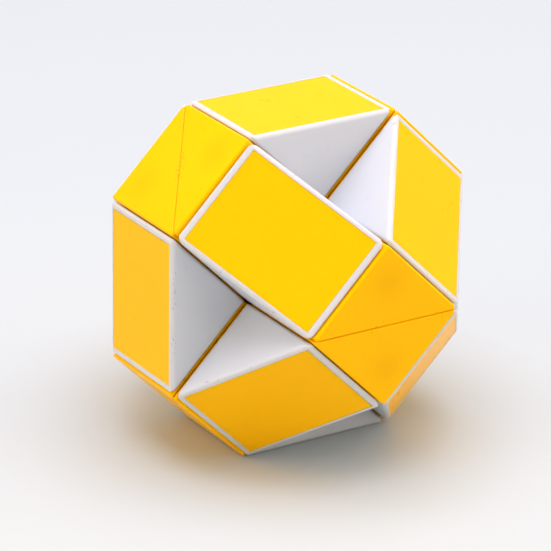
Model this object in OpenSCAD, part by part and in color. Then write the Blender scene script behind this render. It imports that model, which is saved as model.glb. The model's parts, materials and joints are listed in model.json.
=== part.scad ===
// Twisty snake puzzle: a chain of right-angled wedges on sprung swivels, folded into its ball.
//
// Every wedge is half of a cubic cell. In a wedge's own axes the origin is the cell's centre,
// the square walls face +X and +Y, the triangular walls face +Z and -Z, and the long side
// faces away from +X and +Y. The +X wall meets the wedge before it in the chain, and the
// +Y wall meets the wedge after it.

/* [Snake] */
// Side of a square wall, which is also the distance from one cell to the next
pitch = 21; // [20:0.5:26]
// Space between the facing square walls of two wedges
gap = 0.15; // [0.12:0.01:0.3]
// Space between the long sides of two wedges that share a cell
seam = 0.1; // [0.1:0.02:0.3]

/* [Shell] */
// Thickness of the moulded walls
wall = 1.8; // [1.7:0.1:2]
// Width of the rim beside the panel's long edges
side_rim = 0.9; // [0.8:0.1:1.4]
// Width of the rim at the panel's ends, up to the wedge's thin tips
end_rim = 1.6; // [1.4:0.05:2]
// Thickness of the panel
panel_t = 1.2; // [0.8:0.1:1.3]
// Depth of the panel's face below the rim
panel_sink = 0.05; // [0:0.05:0.15]
// Play round the edge of the panel
panel_play = 0.04; // [0.03:0.01:0.1]
// Rounding of a white shell's edges between square and triangular walls
white_edge_r = 0.7; // [0.4:0.1:0.9]
// Rounding of a yellow shell's edges between square and triangular walls
yellow_edge_r = 0.5; // [0.4:0.1:0.9]
// Rounding of a white shell's rim along its triangular walls
rim_r = 0.7; // [0.3:0.1:0.8]
// Rounding of a white shell's rim at its four corners, seen square to the panel
rim_corner_r = 1.4; // [0.8:0.1:1.6]
// Rounding of a yellow shell's edges along its seams
seam_r = 0.25; // [0.15:0.05:0.4]
// Rounding of a yellow shell's long side at its four corners
seam_corner_r = 0.8; // [0.4:0.1:1]
// Rounding of the edge between the two square walls
back_r = 0.7; // [0.2:0.1:0.9]
// Rounding of the thin tips where the long side meets the square walls
tip_r = 0.4; // [0.2:0.05:0.45]

/* [Swivel] */
// Diameter of the pivot screw
screw_d = 2.5; // [2.2:0.1:2.8]
// Radial play of the screw in the wall that turns on it
screw_play = 0.06; // [0.03:0.01:0.09]
// Diameter of the screw's washer head
head_d = 4.4; // [4:0.1:4.6]
// Height of the screw's head with its washer flange
head_h = 1.5; // [1.2:0.1:1.6]
// Length of the spring as it is held under the head
spring_len = 2.5; // [2:0.1:2.6]
// Diameter of the boss that the screw is driven into
boss_d = 4.8; // [4.4:0.1:5]
// Depth of the screw's hole behind the square wall's face
bore_depth = 4.6; // [4:0.1:4.7]

/* [Detents] */
// Distance of the click bumps and dimples from the swivel
detent_reach = 7; // [5:0.5:8]
// Diameter of a click bump at its foot
detent_d = 1.8; // [1.2:0.1:2.4]
// Height of a click bump, less than the gap
detent_h = 0.1; // [0.06:0.01:0.11]

/* [Hidden] */
// Turns that fold the straight chain into the ball, for one half of the chain.
// Each is a quarter turn, and the second half repeats them the other way round.
half_fold = [1, -1, -1, 1, -1, 1, 1, -1, 1, -1, -1, 1];
count = 2 * len(half_fold);
last = count - 1;

half = (pitch - gap) / 2;              // cell's centre to the outside of a wall
long_face = seam / 2;                  // cell's diagonal to the long side's face
stand_height = pitch * sqrt(2) - long_face;
tip_reach = half * sqrt(2) - long_face - tip_r * sqrt(2); // long side's middle to a tip
trim_play = 0.03;                      // keeps the corner trims clear of the tip's rounding
seat_leg = end_rim / sqrt(2);          // end rim's width measured square to the square walls
panel_floor = panel_sink + panel_t;    // depth of the panel's underside below the rim
boss_floor = 0.75;
head_seat = pitch - half + wall + spring_len;
flange_h = 0.45;
dome_foot_d = 0.86 * head_d;
dome_top_d = 0.6 * head_d;
recess_w = 0.55;                       // blade width of the screw's cross recess
recess_l = 2.4;
recess_h = 0.7;
screw_tip_play = 0.2;
rib_t = 0.8;                           // locating ribs under the panel
rib_h = 1.5;
rib_l = 0.66 * pitch;
rib_play = 0.1;
boss_h = bore_depth + boss_floor - wall / 2;
over = 1;                              // how far cutting shapes run past a face
dimple_h = detent_h + over;
dimple_mouth = detent_d * (1 + over / detent_h / 2);
reach = 3 * pitch;                     // longer than any wedge
arc_steps = 5;
round_fn = 48;

white = [0.93, 0.93, 0.95];
yellow = [1, 0.79, 0.04];
steel = [0.72, 0.73, 0.75];

// ---- fold of the chain: each link is [cell, way to the wedge before, way to the wedge after]
function turn(i) = i < len(half_fold) ? half_fold[i] : -half_fold[i - len(half_fold)];
function next_link(link, quarter) = [link[0] + link[2], -link[2], quarter * cross(link[2], link[1])];
first_link = [[0, -1, 1], [0, 1, 0], [0, 0, -1]];
links = [for (i = 0, link = first_link; i < count; link = next_link(link, turn(i)), i = i + 1) link];

function is_white(i) = i % 2 == 0;
function tag(i) = str(i < 9 ? "0" : "", i + 1);
// Turns about Z that bring the +X wall to each square wall that has a swivel
function swivel_walls(i) = [if (i > 0) 0, if (i < last) 90];

// ---- outlines
function unit(v) = v / norm(v);
function round_corner(before, p, after, r) =
    let (a = unit(before - p), b = unit(after - p), opening = acos(a * b))
    let (centre = p + unit(a + b) * r / sin(opening / 2))
    let (start = p + a * r / tan(opening / 2) - centre)
    let (from = atan2(start[1], start[0]), step = (180 - opening) / arc_steps)
    [for (k = [0:arc_steps]) centre + r * [cos(from + step * k), sin(from + step * k)]];

// Triangle whose legs lie leg_in inside the square walls, and its long side depth below the rim
function triangle(leg_in, depth) =
    let (leg = half - leg_in, long = (long_face + depth) * sqrt(2))
    [[leg, leg], [long - leg, leg], [leg, long - leg]];

// The part of such a triangle that lies between two depths below the rim
function plate(leg_in, top, bottom) =
    let (a = triangle(leg_in, top), b = triangle(leg_in, bottom))
    [b[2], a[2], a[1], b[1]];

// Slab across the wedge whose end faces +X at the given place, with both its edges rounded
module round_ended_slab(end, r) {
    foot = [[-reach, half], [-reach, -half]];
    low = [end, -half];
    high = [end, half];
    rotate([90, 0, 0])
        linear_extrude(2 * reach, center = true)
            polygon(concat(
                foot,
                round_corner(foot[1], low, high, r),
                round_corner(low, high, foot[0], r)
            ));
}

module place_wedge(i) {
    cell = pitch * links[i][0];
    x = links[i][1];
    y = links[i][2];
    z = cross(x, y);
    translate([0, 0, stand_height])
        rotate([0, 0, -90])
            rotate([0, -45, 0])
                multmatrix([
                    [x[0], y[0], z[0], cell[0]],
                    [x[1], y[1], z[1], cell[1]],
                    [x[2], y[2], z[2], cell[2]]
                ])
                    children();
}

// ---- wedge
module wedge_block(edge_r, long_r) {
    tri = triangle(0, 0);
    intersection() {
        linear_extrude(2 * half, center = true)
            polygon(concat(
                round_corner(tri[2], tri[0], tri[1], back_r),
                round_corner(tri[0], tri[1], tri[2], tip_r),
                round_corner(tri[1], tri[2], tri[0], tip_r)
            ));
        round_ended_slab(half, edge_r);
        rotate([0, 0, 90]) round_ended_slab(half, edge_r);
        rotate([0, 0, 225]) round_ended_slab(-long_face, long_r);
    }
}

// Takes the corners off the long side, seen square to it
module long_side_trims(r) {
    far = tip_reach + trim_play;
    corner = [far, half];
    outside = [[far - r, half + over], [far + over, half + over], [far + over, half - r]];
    for (end = [0, 1], side = [0, 1])
        rotate([0, 0, -45])
            mirror([end, 0, 0])
                mirror([0, 0, side])
                    rotate([90, 0, 0])
                        linear_extrude(2 * reach, center = true)
                            polygon(concat(round_corner([far, 0], corner, [0, half], r), outside));
}

// Hollow wedge, open on its long side, with a ledge all round for the panel
module open_wedge(edge_r, long_r, long_corner_r) {
    difference() {
        wedge_block(edge_r, long_r);
        long_side_trims(long_corner_r);
        linear_extrude(2 * (half - wall), center = true) polygon(triangle(wall, -over));
        linear_extrude(2 * (half - side_rim), center = true) polygon(plate(seat_leg, -over, panel_floor));
    }
}

module panel_plate() {
    linear_extrude(2 * (half - side_rim - panel_play), center = true)
        polygon(plate(seat_leg + panel_play, panel_sink, panel_floor));
    for (side = [-1, 1])
        rotate([0, 0, 225])
            translate([
                -long_face - panel_floor - rib_h / 2,
                0,
                side * (half - wall - rib_play - rib_t / 2)
            ])
                cube([rib_h, rib_l, rib_t], center = true);
}

// Four places round the middle of the +X wall's face, one at each click
module at_detents() {
    for (k = [0:3])
        translate([half, 0, 0])
            rotate([45 + 90 * k, 0, 0])
                translate([0, detent_reach, 0])
                    rotate([0, 90, 0])
                        children();
}

module detent_bump() {
    cylinder(h = detent_h, d1 = detent_d, d2 = detent_d / 2, $fn = round_fn);
}

module detent_dimple() {
    translate([0, 0, -detent_h])
        cylinder(h = dimple_h, d1 = detent_d / 2, d2 = dimple_mouth, $fn = round_fn);
}

// ---- sub-parts
module white_shell(i) {
    color(white)
        place_wedge(i)
            difference() {
                open_wedge(white_edge_r, rim_r, rim_corner_r);
                for (side = swivel_walls(i))
                    rotate([0, 0, side])
                        translate([half - wall - over, 0, 0])
                            rotate([0, 90, 0])
                                cylinder(h = wall + 2 * over, r = screw_d / 2 + screw_play, $fn = round_fn);
                for (side = [0, 90])
                    rotate([0, 0, side])
                        at_detents() detent_dimple();
            }
}

module yellow_panel(i) {
    color(yellow)
        place_wedge(i)
            panel_plate();
}

module yellow_shell(i) {
    color(yellow)
        place_wedge(i)
            difference() {
                union() {
                    open_wedge(yellow_edge_r, seam_r, seam_corner_r);
                    for (side = swivel_walls(i))
                        rotate([0, 0, side])
                            translate([half - bore_depth - boss_floor, 0, 0])
                                rotate([0, 90, 0])
                                    cylinder(h = boss_h, d = boss_d, $fn = round_fn);
                    for (side = [0, 90])
                        rotate([0, 0, side])
                            at_detents() detent_bump();
                }
                for (side = swivel_walls(i))
                    rotate([0, 0, side])
                        translate([half - bore_depth, 0, 0])
                            rotate([0, 90, 0])
                                cylinder(h = bore_depth + over, d = screw_d, $fn = round_fn);
            }
}

module yellow_cover(i) {
    color(yellow)
        place_wedge(i)
            panel_plate();
}

// The screws driven into one yellow wedge. Their heads lie inside the white wedges beside it.
module pivot_screws(i) {
    color(steel)
        place_wedge(i)
            for (side = swivel_walls(i))
                rotate([0, 0, side])
                    rotate([0, 90, 0])
                        pivot_screw();
}

module pivot_screw() {
    tip = half - bore_depth + screw_tip_play;
    difference() {
        union() {
            translate([0, 0, tip]) cylinder(h = head_seat - tip, d = screw_d, $fn = round_fn);
            translate([0, 0, head_seat]) cylinder(h = flange_h, d = head_d, $fn = round_fn);
            translate([0, 0, head_seat + flange_h])
                cylinder(h = head_h - flange_h, d1 = dome_foot_d, d2 = dome_top_d, $fn = round_fn);
        }
        for (blade = [0, 90])
            rotate([0, 0, blade])
                translate([-recess_l / 2, -recess_w / 2, head_seat + head_h - recess_h])
                    cube([recess_l, recess_w, recess_h + over]);
    }
}

for (i = [0:2:last]) {
    white_shell(i);
    yellow_panel(i);
}
for (i = [1:2:last]) {
    yellow_shell(i);
    yellow_cover(i);
    pivot_screws(i);
}
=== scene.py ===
"""Twisty snake puzzle folded into its ball, on a pale studio floor.

Lengths are in metres in the row frame: the ball stands on z = 0, with +X along its widest axis.
Places on one wedge are in millimetres in the wedge's own axes: its square walls face +X and +Y,
its triangular walls face +Z and -Z, and its long side lies along the plane x + y = 0. The sum
x + y is then a measure of the depth below the long side.
"""
import json
import math

import bmesh
import bpy
from mathutils import Matrix, Vector


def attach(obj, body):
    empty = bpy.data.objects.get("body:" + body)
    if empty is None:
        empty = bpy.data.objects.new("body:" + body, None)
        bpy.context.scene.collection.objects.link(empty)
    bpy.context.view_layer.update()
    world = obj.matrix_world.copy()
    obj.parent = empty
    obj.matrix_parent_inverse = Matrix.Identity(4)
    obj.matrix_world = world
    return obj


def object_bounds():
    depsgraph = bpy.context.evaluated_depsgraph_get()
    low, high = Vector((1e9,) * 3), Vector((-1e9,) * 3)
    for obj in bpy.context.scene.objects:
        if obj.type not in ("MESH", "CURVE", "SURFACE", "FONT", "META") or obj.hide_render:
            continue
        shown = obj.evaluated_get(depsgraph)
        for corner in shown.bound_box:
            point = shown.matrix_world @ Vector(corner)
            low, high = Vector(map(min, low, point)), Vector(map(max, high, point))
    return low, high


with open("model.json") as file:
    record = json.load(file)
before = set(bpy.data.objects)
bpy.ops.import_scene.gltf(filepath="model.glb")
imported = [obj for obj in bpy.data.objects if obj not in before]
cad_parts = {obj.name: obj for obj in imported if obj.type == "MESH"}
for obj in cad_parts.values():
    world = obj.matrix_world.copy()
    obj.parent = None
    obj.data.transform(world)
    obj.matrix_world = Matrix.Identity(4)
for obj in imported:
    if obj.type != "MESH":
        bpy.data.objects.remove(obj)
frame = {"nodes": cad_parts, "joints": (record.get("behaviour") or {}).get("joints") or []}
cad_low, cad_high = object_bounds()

MM = 0.001
CENTRE = (cad_low + cad_high) / 2

# Every wedge is half of a cubic cell. Two swivels next to each other are at the middles of two
# faces of one cell, so their distance gives the cell's side.
first_swivel, next_swivel = (Vector(joint["pos_m"]) for joint in frame["joints"][:2])
PITCH = math.sqrt(2) * (next_swivel - first_swivel).length
GAP = 0.15 * MM             # space between the square walls of two wedges
WALL = 1.8 * MM             # thickness of a shell's walls
HALF = (PITCH - GAP) / 2    # a cell's centre to the outside of a wall
HALF_MM = HALF / MM

# ------------------------------------------------------------------ camera
VIEW_AZIMUTH = 57.82
VIEW_ELEVATION = 22.75
VIEW_ROLL = 0.87
VIEW_DISTANCE = 32 * PITCH
LENS = 251
SENSOR_WIDTH = 36
CLIP_START = 0.05
CLIP_END = 20
AIM_LEFT = 0.103 * PITCH
AIM_DOWN = 0.096 * PITCH


def make_camera():
    """Long lens that looks down on the ball, with the ball a little right of and above the middle."""
    azimuth = math.radians(VIEW_AZIMUTH)
    elevation = math.radians(VIEW_ELEVATION)
    back = Vector((
        math.sin(azimuth) * math.cos(elevation),
        -math.cos(azimuth) * math.cos(elevation),
        math.sin(elevation),
    ))
    level = (-back).to_track_quat("-Z", "Y")
    turn = level @ Matrix.Rotation(math.radians(VIEW_ROLL), 3, "Z").to_quaternion()
    right = turn @ Vector((1, 0, 0))
    up = turn @ Vector((0, 1, 0))
    data = bpy.data.cameras.new("camera")
    data.lens = LENS
    data.sensor_width = SENSOR_WIDTH
    data.clip_start = CLIP_START
    data.clip_end = CLIP_END
    camera = bpy.data.objects.new("camera", data)
    camera.location = CENTRE + back * VIEW_DISTANCE - right * AIM_LEFT - up * AIM_DOWN
    camera.rotation_mode = "QUATERNION"
    camera.rotation_quaternion = turn
    bpy.context.scene.collection.objects.link(camera)
    bpy.context.scene.camera = camera


# ------------------------------------------------------------------ stage and light
# Each softbox: its place and its side in metres, its power in watts and its colour
SOFTBOXES = {
    "overhead_softbox": ((0.0, 0.0, 0.9), 0.9, 9.4, (0.88, 0.86, 1.0)),
    "left_softbox": ((0.1, -0.85, 0.45), 0.6, 1.2, (1.0, 0.86, 0.72)),
    "low_left_softbox": ((-0.1, -0.9, 0.15), 0.5, 1.1, (1.0, 0.88, 0.90)),
    "back_left_softbox": ((-0.6, -0.65, 0.2), 0.5, 1.1, (1.0, 0.80, 0.70)),
    "right_softbox": ((0.3, 0.85, 0.5), 0.6, 2.1, (1.0, 0.87, 0.82)),
    "front_right_softbox": ((0.7, 0.6, 0.3), 0.5, 1.25, (1.0, 0.85, 0.72)),
    "back_softbox": ((-0.8, 0.4, 0.6), 0.6, 0.2, (1.0, 0.98, 0.96)),
}
ROOM_COLOUR = (1.0, 0.845, 0.68)
ROOM_STRENGTH = 0.755
FLOOR_HALF_SIDE = 3.0


def area_light(name, place, side, watts, colour):
    """Square softbox that faces the middle of the ball."""
    data = bpy.data.lights.new(name, "AREA")
    data.shape = "SQUARE"
    data.size = side
    data.energy = watts
    data.color = colour
    light = bpy.data.objects.new(name, data)
    light.location = place
    light.rotation_mode = "QUATERNION"
    light.rotation_quaternion = (CENTRE - Vector(place)).to_track_quat("-Z", "Y")
    bpy.context.scene.collection.objects.link(light)


def make_stage():
    """Plain floor, an evenly lit warm room and the softboxes."""
    side = FLOOR_HALF_SIDE
    corners = [(-side, -side, 0), (side, -side, 0), (side, side, 0), (-side, side, 0)]
    mesh = bpy.data.meshes.new("floor")
    mesh.from_pydata(corners, [], [(0, 1, 2, 3)])
    floor = bpy.data.objects.new("floor", mesh)
    bpy.context.scene.collection.objects.link(floor)
    floor.data.materials.append(floor_material())

    world = bpy.data.worlds.new("studio")
    world.use_nodes = True
    background = world.node_tree.nodes["Background"]
    background.inputs["Color"].default_value = (*ROOM_COLOUR, 1)
    background.inputs["Strength"].default_value = ROOM_STRENGTH
    bpy.context.scene.world = world
    for name, (place, side, watts, colour) in SOFTBOXES.items():
        area_light(name, place, side, watts, colour)


# ------------------------------------------------------------------ the chain's fold
# Quarter turns that fold one half of the chain. The other half repeats them the other way round.
HALF_FOLD = [1, -1, -1, 1, -1, 1, 1, -1, 1, -1, -1, 1]
TURNS = HALF_FOLD + [-turn for turn in HALF_FOLD]


def wedge_places():
    """Each wedge's origin and its X and Y axes in the row frame, by the wedge's two-digit number.

    It walks along the chain from cell to cell of a cubic grid, then stands the grid on its edge.
    The X axis points to the wedge before, and the Y axis to the wedge after.
    """
    slope = 1 / math.sqrt(2)
    stand = Matrix(((0, 1, 0), (-slope, 0, slope), (slope, 0, slope)))
    cell = Vector((0, -1, 1))
    before = Vector((0, 1, 0))
    after = Vector((0, 0, -1))
    middle = Vector((0, 0, CENTRE.z))
    places = {}
    for number, quarter in enumerate(TURNS, 1):
        places[f"{number:02d}"] = (middle + PITCH * (stand @ cell), stand @ before, stand @ after)
        cell, before, after = cell + after, -after, quarter * after.cross(before)
    return places


# ------------------------------------------------------------------ smooth shading and wedge coordinates
WELD = 0.002 * MM
SHARP_ANGLE = math.radians(40)


def moulding_group():
    """Geometry nodes that weld a CAD mesh, shade its roundings smooth and store wedge coordinates."""
    group = bpy.data.node_groups.new("moulding", "GeometryNodeTree")
    for name, direction, kind in (
        ("Geometry", "INPUT", "NodeSocketGeometry"),
        ("Origin", "INPUT", "NodeSocketVector"),
        ("X", "INPUT", "NodeSocketVector"),
        ("Y", "INPUT", "NodeSocketVector"),
        ("Geometry", "OUTPUT", "NodeSocketGeometry"),
    ):
        group.interface.new_socket(name, in_out=direction, socket_type=kind)
    nodes = group.nodes
    links = group.links
    given = nodes.new("NodeGroupInput")

    def vector_math(operation, first, second=None):
        made = nodes.new("ShaderNodeVectorMath")
        made.operation = operation
        links.new(first, made.inputs[0])
        if second is not None:
            links.new(second, made.inputs[1])
        return made

    position = nodes.new("GeometryNodeInputPosition").outputs[0]
    offset = vector_math("SUBTRACT", position, given.outputs["Origin"]).outputs["Vector"]
    z_axis = vector_math("CROSS_PRODUCT", given.outputs["X"], given.outputs["Y"]).outputs["Vector"]
    local = nodes.new("ShaderNodeCombineXYZ")
    for i, axis in enumerate((given.outputs["X"], given.outputs["Y"], z_axis)):
        links.new(vector_math("DOT_PRODUCT", offset, axis).outputs["Value"], local.inputs[i])
    in_mm = vector_math("SCALE", local.outputs[0])
    in_mm.inputs["Scale"].default_value = 1 / MM
    angle = nodes.new("GeometryNodeInputMeshEdgeAngle").outputs["Unsigned Angle"]
    is_sharp = nodes.new("FunctionNodeCompare")
    links.new(angle, is_sharp.inputs["A"])
    is_sharp.inputs["B"].default_value = SHARP_ANGLE

    weld = nodes.new("GeometryNodeMergeByDistance")
    weld.inputs["Distance"].default_value = WELD
    store = nodes.new("GeometryNodeStoreNamedAttribute")
    store.data_type = "FLOAT_VECTOR"
    store.inputs["Name"].default_value = "wedge"
    links.new(in_mm.outputs["Vector"], store.inputs["Value"])
    smooth = nodes.new("GeometryNodeSetShadeSmooth")
    sharpen = nodes.new("GeometryNodeSetShadeSmooth")
    sharpen.domain = "EDGE"
    sharpen.inputs["Shade Smooth"].default_value = False
    links.new(is_sharp.outputs["Result"], sharpen.inputs["Selection"])
    result = nodes.new("NodeGroupOutput")
    chain = [given, weld, store, smooth, sharpen, result]
    for first, second in zip(chain, chain[1:]):
        links.new(first.outputs["Geometry"], second.inputs["Geometry"])
    return group


def finish_mesh(node, group, place):
    """Adds the welding and shading modifiers to one CAD node, which lies on the wedge at that place."""
    modifier = node.modifiers.new("moulding", "NODES")
    modifier.node_group = group
    inputs = [item.identifier for item in group.interface.items_tree if item.in_out == "INPUT"]
    for socket, value in zip(inputs[1:], place):
        modifier[socket] = value[:]
    normals = node.modifiers.new("flat_faces", "WEIGHTED_NORMAL")
    normals.mode = "FACE_AREA"
    normals.keep_sharp = True


# ------------------------------------------------------------------ materials
# A mix node has inputs A and B for each kind of data under the same names, so colours go by index
MIX_COLOUR_A = 6
MIX_COLOUR_B = 7
MIX_COLOUR_RESULT = 2


class Shader:
    """Small helper that adds and links nodes of one material."""

    def __init__(self, name):
        self.material = bpy.data.materials.new(name)
        self.material.use_nodes = True
        self.tree = self.material.node_tree
        self.surface = self.tree.nodes["Principled BSDF"]

    def node(self, kind, values=None, **settings):
        made = self.tree.nodes.new(kind)
        for key, value in settings.items():
            setattr(made, key, value)
        for key, value in (values or {}).items():
            made.inputs[key].default_value = value
        return made

    def link(self, source, target):
        self.tree.links.new(source, target)

    def math(self, operation, *terms):
        made = self.node("ShaderNodeMath", operation=operation)
        for socket, term in zip(made.inputs, terms):
            if isinstance(term, (int, float)):
                socket.default_value = term
            else:
                self.link(term, socket)
        return made.outputs["Value"]

    def noise(self, grain, detail=3, rough=0.5, stretch=(1, 1, 1)):
        """Noise whose grain is given in cycles per metre."""
        place = self.node("ShaderNodeTexCoord")
        mapping = self.node("ShaderNodeMapping", {"Scale": stretch})
        noise = self.node("ShaderNodeTexNoise", {"Scale": grain, "Detail": detail, "Roughness": rough})
        self.link(place.outputs["Object"], mapping.inputs["Vector"])
        self.link(mapping.outputs["Vector"], noise.inputs["Vector"])
        return noise.outputs["Fac"]

    def wedge_xyz(self):
        """Place on the wedge in millimetres."""
        attribute = self.node("ShaderNodeAttribute", attribute_name="wedge")
        parts = self.node("ShaderNodeSeparateXYZ")
        self.link(attribute.outputs["Vector"], parts.inputs[0])
        return parts.outputs["X"], parts.outputs["Y"], parts.outputs["Z"]

    def spread(self, source, low, high, start=0.3, end=0.7, curve="LINEAR"):
        """Goes from low to high while the source goes from start to end.

        Without these two, the source is a noise, which seldom leaves the range from 0.3 to 0.7.
        """
        ramp = self.node("ShaderNodeMapRange", {
            "From Min": start, "From Max": end, "To Min": low, "To Max": high,
        }, interpolation_type=curve)
        self.link(source, ramp.inputs["Value"])
        return ramp.outputs["Result"]

    def mix(self, factor, colour_a, colour_b):
        """Goes from colour_a to colour_b. Each is a colour or another node's output."""
        mix = self.node("ShaderNodeMix", data_type="RGBA")
        self.link(factor, mix.inputs["Factor"])
        for index, colour in ((MIX_COLOUR_A, colour_a), (MIX_COLOUR_B, colour_b)):
            if isinstance(colour, tuple):
                mix.inputs[index].default_value = (*colour, 1)
            else:
                self.link(colour, mix.inputs[index])
        return mix.outputs[MIX_COLOUR_RESULT]

    def bump(self, heights):
        """Chains bumps, each given as (height, distance, strength)."""
        normal = None
        for height, distance, strength in heights:
            bump = self.node("ShaderNodeBump", {"Distance": distance, "Strength": strength})
            self.link(height, bump.inputs["Height"])
            if normal is not None:
                self.link(normal, bump.inputs["Normal"])
            normal = bump.outputs["Normal"]
        self.link(normal, self.surface.inputs["Normal"])


# A grain is in cycles per metre. BLOTS gives the noise level where a blot starts, and where it is full.
FLOW_GRAIN = 60
BLOT_ROUGH = 0.6

# Painted shade of the sink marks over the bosses: the darker shading of their shallow dents, painted
# into the colour
SINK_PLACE_MM = 5.6
SINK_REACH_MM = 5.5
SINK_SHADE_STRENGTH = 0.75

# Painted glow on the rim round a panel: the neighbouring colour's light, painted into the colour
RIM_BAND_MM = 0.15
RIM_FADE_MM = 0.9
RIM_GLOW_STRENGTH = 0.8

# Dust on the walls, and dirt caught along the rims
DUST_GRAIN = 1900
DUST_BLOTS = (0.785, 0.81)
DUST_TINT = 0.4
GRIME_BAND_MM = 0.6
GRIME_FADE_MM = 1.8
GRIME_EDGE_MM = 0.1
GRIME_GRAIN = 2600
GRIME_BLOTS = (0.62, 0.66)
PATCH_GRAIN = 160
PATCH_BLOTS = (0.53, 0.61)

# Satin finish, rubbed in streaks by handling
SATIN_GRAIN = 380
SATIN_ROUGHNESS = (0.27, 0.36)
RUB_GRAIN = 900
RUB_STRETCH = (1, 0.06, 1)
RUB_BLOTS = (0.62, 0.72)
RUB_ROUGHNESS = 0.10

# Relief: long waves in the walls, and pores
WAVE_GRAIN = 110
WAVE_HEIGHT = 0.10 * MM
WAVE_STRENGTH = 0.30
PORE_GRAIN = 2400
PORE_HEIGHT = 0.006 * MM
PORE_STRENGTH = 0.25

# Light scattered under the surface
SCATTER_RADIUS = (1.0, 0.4, 0.2)
SCATTER_DEPTH = 1.2 * MM


def sink_shade_mask(shader):
    """Mask of the painted sink-mark shade: 1 over the bosses inside the corner of the two square walls,
    fading to 0 away from them.
    """
    x, y, _ = shader.wedge_xyz()
    squares = []
    for place in (x, y):
        off = shader.math("SUBTRACT", place, SINK_PLACE_MM)
        squares.append(shader.math("MULTIPLY", off, off))
    distance = shader.math("SQRT", shader.math("ADD", *squares))
    return shader.spread(distance, 1, 0, 0, SINK_REACH_MM, "SMOOTHSTEP")


def rim_glow_mask(shader):
    """Mask of the painted rim glow: 1 on the rim round the panel, fading to 0 down its rounding."""
    x, y, _ = shader.wedge_xyz()
    depth = shader.math("ADD", x, y)
    return shader.spread(depth, 1, 0, RIM_BAND_MM, RIM_FADE_MM)


def rim_grime(shader):
    """Specks of dirt caught along the rounding between a triangular wall and the rim."""
    x, y, z = shader.wedge_xyz()
    depth = shader.math("ADD", x, y)
    side = shader.math("ABSOLUTE", z)
    near_rim = shader.spread(depth, 1, 0, GRIME_BAND_MM, GRIME_FADE_MM)
    near_wall = shader.spread(side, 0, 1, HALF_MM - GRIME_BAND_MM, HALF_MM - GRIME_EDGE_MM)
    specks = shader.spread(shader.noise(GRIME_GRAIN, detail=2, rough=BLOT_ROUGH), 0, 1, *GRIME_BLOTS)
    patches = shader.spread(shader.noise(PATCH_GRAIN, detail=1), 0, 1, *PATCH_BLOTS)
    place = shader.math("MULTIPLY", near_rim, near_wall)
    return shader.math("MULTIPLY", place, shader.math("MULTIPLY", specks, patches))


def moulded_plastic(name, colour, cloud, sink_shade_colour, rim, speck, specular, scatter):
    """Satin moulded plastic: faint flow clouding, painted shade of sink marks, fine handling marks and
    sparse dust.

    The rim colour is a painted glow along the edge of the long side, where the neighbouring colour's
    light shines in.
    """
    shader = Shader(name)
    flow = shader.noise(FLOW_GRAIN, detail=2)
    body = shader.mix(shader.spread(flow, 0, 1), colour, cloud)
    # Painted shade: a darker colour over the sink marks stands in for the shading of their dents
    body = shader.mix(shader.math("MULTIPLY", sink_shade_mask(shader), SINK_SHADE_STRENGTH), body, sink_shade_colour)
    # Painted glow: the rim colour along the long side stands in for the neighbouring colour's light
    body = shader.mix(shader.math("MULTIPLY", rim_glow_mask(shader), RIM_GLOW_STRENGTH), body, rim)
    specks = shader.noise(DUST_GRAIN, detail=2, rough=BLOT_ROUGH)
    dust = shader.spread(specks, 0, DUST_TINT, *DUST_BLOTS)
    body = shader.mix(shader.math("MAXIMUM", dust, rim_grime(shader)), body, speck)
    shader.link(body, shader.surface.inputs["Base Color"])

    satin = shader.noise(SATIN_GRAIN, detail=4)
    streaks = shader.noise(RUB_GRAIN, rough=BLOT_ROUGH, stretch=RUB_STRETCH)
    rubbed = shader.spread(streaks, 0, RUB_ROUGHNESS, *RUB_BLOTS)
    worn = shader.math("MULTIPLY", rubbed, shader.spread(satin, 0, 1))
    roughness = shader.math("ADD", shader.spread(satin, *SATIN_ROUGHNESS), worn)
    shader.link(roughness, shader.surface.inputs["Roughness"])
    shader.surface.inputs["Specular IOR Level"].default_value = specular
    shader.surface.subsurface_method = "BURLEY"
    shader.surface.inputs["Subsurface Weight"].default_value = scatter
    shader.surface.inputs["Subsurface Radius"].default_value = SCATTER_RADIUS
    shader.surface.inputs["Subsurface Scale"].default_value = SCATTER_DEPTH
    shader.bump([
        (shader.noise(WAVE_GRAIN, detail=1), WAVE_HEIGHT, WAVE_STRENGTH),
        (shader.noise(PORE_GRAIN, detail=2), PORE_HEIGHT, PORE_STRENGTH),
    ])
    return shader.material


STEEL_DARK = (0.62, 0.63, 0.66)
STEEL_LIGHT = (0.74, 0.74, 0.75)
STEEL_ROUGHNESS = (0.25, 0.42)
STEEL_PATCH_GRAIN = 900
STEEL_SATIN_GRAIN = 1500
STEEL_PORE_GRAIN = 3000
STEEL_PORE_HEIGHT = 0.01 * MM
STEEL_PORE_STRENGTH = 0.4


def steel_material():
    """Zinc-plated steel of the screws and springs."""
    shader = Shader("zinc_plated_steel")
    patches = shader.spread(shader.noise(STEEL_PATCH_GRAIN), 0, 1)
    colour = shader.mix(patches, STEEL_DARK, STEEL_LIGHT)
    shader.link(colour, shader.surface.inputs["Base Color"])
    shader.surface.inputs["Metallic"].default_value = 1.0
    roughness = shader.spread(shader.noise(STEEL_SATIN_GRAIN), *STEEL_ROUGHNESS)
    shader.link(roughness, shader.surface.inputs["Roughness"])
    pores = shader.noise(STEEL_PORE_GRAIN, detail=2)
    shader.bump([(pores, STEEL_PORE_HEIGHT, STEEL_PORE_STRENGTH)])
    return shader.material


# The floor's colour changes between these two places, in metres from the ball towards the camera:
# painted light falloff, darker and cooler far away and warmer near the camera
FLOOR_FAR = -0.12
FLOOR_NEAR = 0.08
FLOOR_FAR_SHADED_COLOUR = (0.500, 0.565, 0.612)
FLOOR_NEAR_LIT_COLOUR = (0.536, 0.592, 0.602)
FLOOR_CHANGE = 0.9
FLOOR_DRIFT = 0.15
FLOOR_DRIFT_GRAIN = 3
FLOOR_SATIN_GRAIN = 60
FLOOR_ROUGHNESS = (0.55, 0.65)
FLOOR_SPECULAR = 0.2


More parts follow.
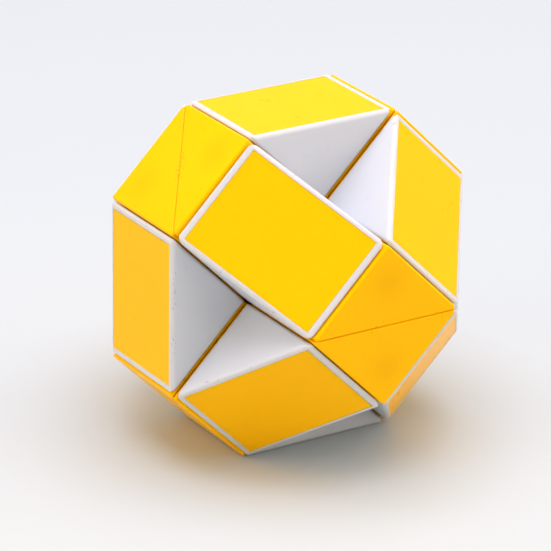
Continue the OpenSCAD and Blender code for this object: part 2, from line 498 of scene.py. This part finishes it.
def floor_material():
    """Pale matt board with painted light falloff: darker and cooler far away, a little warmer towards
    the camera's side.
    """
    shader = Shader("studio_floor")
    place = shader.node("ShaderNodeTexCoord")
    parts = shader.node("ShaderNodeSeparateXYZ")
    shader.link(place.outputs["Object"], parts.inputs[0])
    azimuth = math.radians(VIEW_AZIMUTH)
    along_x = shader.math("MULTIPLY", parts.outputs["X"], math.sin(azimuth))
    along_y = shader.math("MULTIPLY", parts.outputs["Y"], -math.cos(azimuth))
    # Painted light falloff: the floor darkens and cools away from the camera, with random drift on top
    near = shader.spread(shader.math("ADD", along_x, along_y), 0, 1, FLOOR_FAR, FLOOR_NEAR)
    drift = shader.spread(shader.noise(FLOOR_DRIFT_GRAIN, detail=2), 0, FLOOR_DRIFT)
    falloff_and_drift = shader.math("MULTIPLY", shader.math("ADD", near, drift), FLOOR_CHANGE)
    colour = shader.mix(falloff_and_drift, FLOOR_FAR_SHADED_COLOUR, FLOOR_NEAR_LIT_COLOUR)
    shader.link(colour, shader.surface.inputs["Base Color"])
    roughness = shader.spread(shader.noise(FLOOR_SATIN_GRAIN), *FLOOR_ROUGHNESS)
    shader.link(roughness, shader.surface.inputs["Roughness"])
    shader.surface.inputs["Specular IOR Level"].default_value = FLOOR_SPECULAR
    return shader.material


def dress_nodes(steel, places):
    """Gives every CAD node its material and modifiers.

    A node's name starts with its colour, or with pivot, and ends with its wedge's number.
    """
    white = moulded_plastic(
        "white_plastic",
        colour=(0.600, 0.640, 0.698),
        cloud=(0.616, 0.654, 0.710),
        # The colour over the sink marks is painted shade
        sink_shade_colour=(0.580, 0.618, 0.676),
        # The rim colour is painted glow of the neighbouring yellow's light
        rim=(0.610, 0.605, 0.605),
        speck=(0.20, 0.16, 0.10),
        specular=0.35,
        scatter=0.5,
    )
    yellow = moulded_plastic(
        "yellow_plastic",
        colour=(1.0, 0.500, 0.0),
        cloud=(1.0, 0.522, 0.0),
        # The colour over the sink marks is painted shade
        sink_shade_colour=(0.86, 0.455, 0.0),
        # The rim colour is painted glow of the neighbouring white's light
        rim=(1.0, 0.505, 0.0),
        speck=(0.45, 0.22, 0.02),
        specular=0.07,
        scatter=0.8,
    )
    materials = {"white": white, "yellow": yellow, "pivot": steel}
    group = moulding_group()
    for name, node in frame["nodes"].items():
        node.data.materials.clear()
        node.data.materials.append(materials[name.split("_")[0]])
        finish_mesh(node, group, places[name[-2:]])


# ------------------------------------------------------------------ springs under the screw heads
SPRING_LENGTH = 2.5 * MM
SPRING_NEAR = HALF - WALL - SPRING_LENGTH    # the cell's centre to the screw's head
SPRING_RADIUS = 1.72 * MM
WIRE_RADIUS = 0.19 * MM
SPRING_TURNS = 4.5
FLAT_TURNS = 0.9
STEPS_PER_TURN = 28
WIRE_SIDES = 10


def spring_path():
    """Points of one spring that stands on z = 0, with a closed turn at each end."""
    steps = round(SPRING_TURNS * STEPS_PER_TURN)
    length = SPRING_LENGTH - 2 * WIRE_RADIUS
    closed_rise = 2 * WIRE_RADIUS
    points = []
    for i in range(steps + 1):
        turn = SPRING_TURNS * i / steps
        if turn < FLAT_TURNS:
            height = closed_rise * turn / FLAT_TURNS
        elif turn > SPRING_TURNS - FLAT_TURNS:
            height = length - closed_rise * (SPRING_TURNS - turn) / FLAT_TURNS
        else:
            share = (turn - FLAT_TURNS) / (SPRING_TURNS - 2 * FLAT_TURNS)
            height = closed_rise + share * (length - 2 * closed_rise)
        angle = 2 * math.pi * turn
        points.append(Vector((
            SPRING_RADIUS * math.cos(angle),
            SPRING_RADIUS * math.sin(angle),
            WIRE_RADIUS + height,
        )))
    return points


def tube(points, radius, sides):
    """Closed mesh of a round wire along the points."""
    built = bmesh.new()
    rings = []
    for i, point in enumerate(points):
        along = (points[min(i + 1, len(points) - 1)] - points[max(i - 1, 0)]).normalized()
        across = Vector((point.x, point.y, 0)).normalized()
        beside = along.cross(across).normalized()
        across = beside.cross(along)
        ring = []
        for k in range(sides):
            angle = 2 * math.pi * k / sides
            outward = math.cos(angle) * across + math.sin(angle) * beside
            ring.append(built.verts.new(point + radius * outward))
        rings.append(ring)
    for ring, following in zip(rings, rings[1:]):
        for k in range(sides):
            built.faces.new((ring[k], ring[(k + 1) % sides], following[(k + 1) % sides], following[k]))
    built.faces.new(rings[0][::-1])
    built.faces.new(rings[-1])
    bmesh.ops.recalc_face_normals(built, faces=built.faces)
    mesh = bpy.data.meshes.new("spring")
    built.to_mesh(mesh)
    built.free()
    mesh.shade_smooth()
    return mesh


def make_springs(steel, places):
    """One spring on each swivel, inside the white wedge, between its square wall and the screw's head.

    A swivel joins the wedge of its own number to the next one, and the white wedges are the odd ones.
    """
    mesh = tube(spring_path(), WIRE_RADIUS, WIRE_SIDES)
    mesh.materials.append(steel)
    for joint in frame["joints"]:
        number = int(joint["name"][-2:])
        white = f"{number if number % 2 else number + 1:02d}"
        middle = places[white][0]
        outward = (Vector(joint["pos_m"]) - middle).normalized()
        spring = bpy.data.objects.new(f"spring_{number:02d}", mesh)
        spring.location = middle + SPRING_NEAR * outward
        spring.rotation_mode = "QUATERNION"
        spring.rotation_quaternion = outward.to_track_quat("Z", "Y")
        bpy.context.scene.collection.objects.link(spring)
        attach(spring, f"wedge_{white}")


make_camera()
make_stage()
steel = steel_material()
places = wedge_places()
dress_nodes(steel, places)
make_springs(steel, places)
bpy.context.scene.view_settings.view_transform = "Standard"
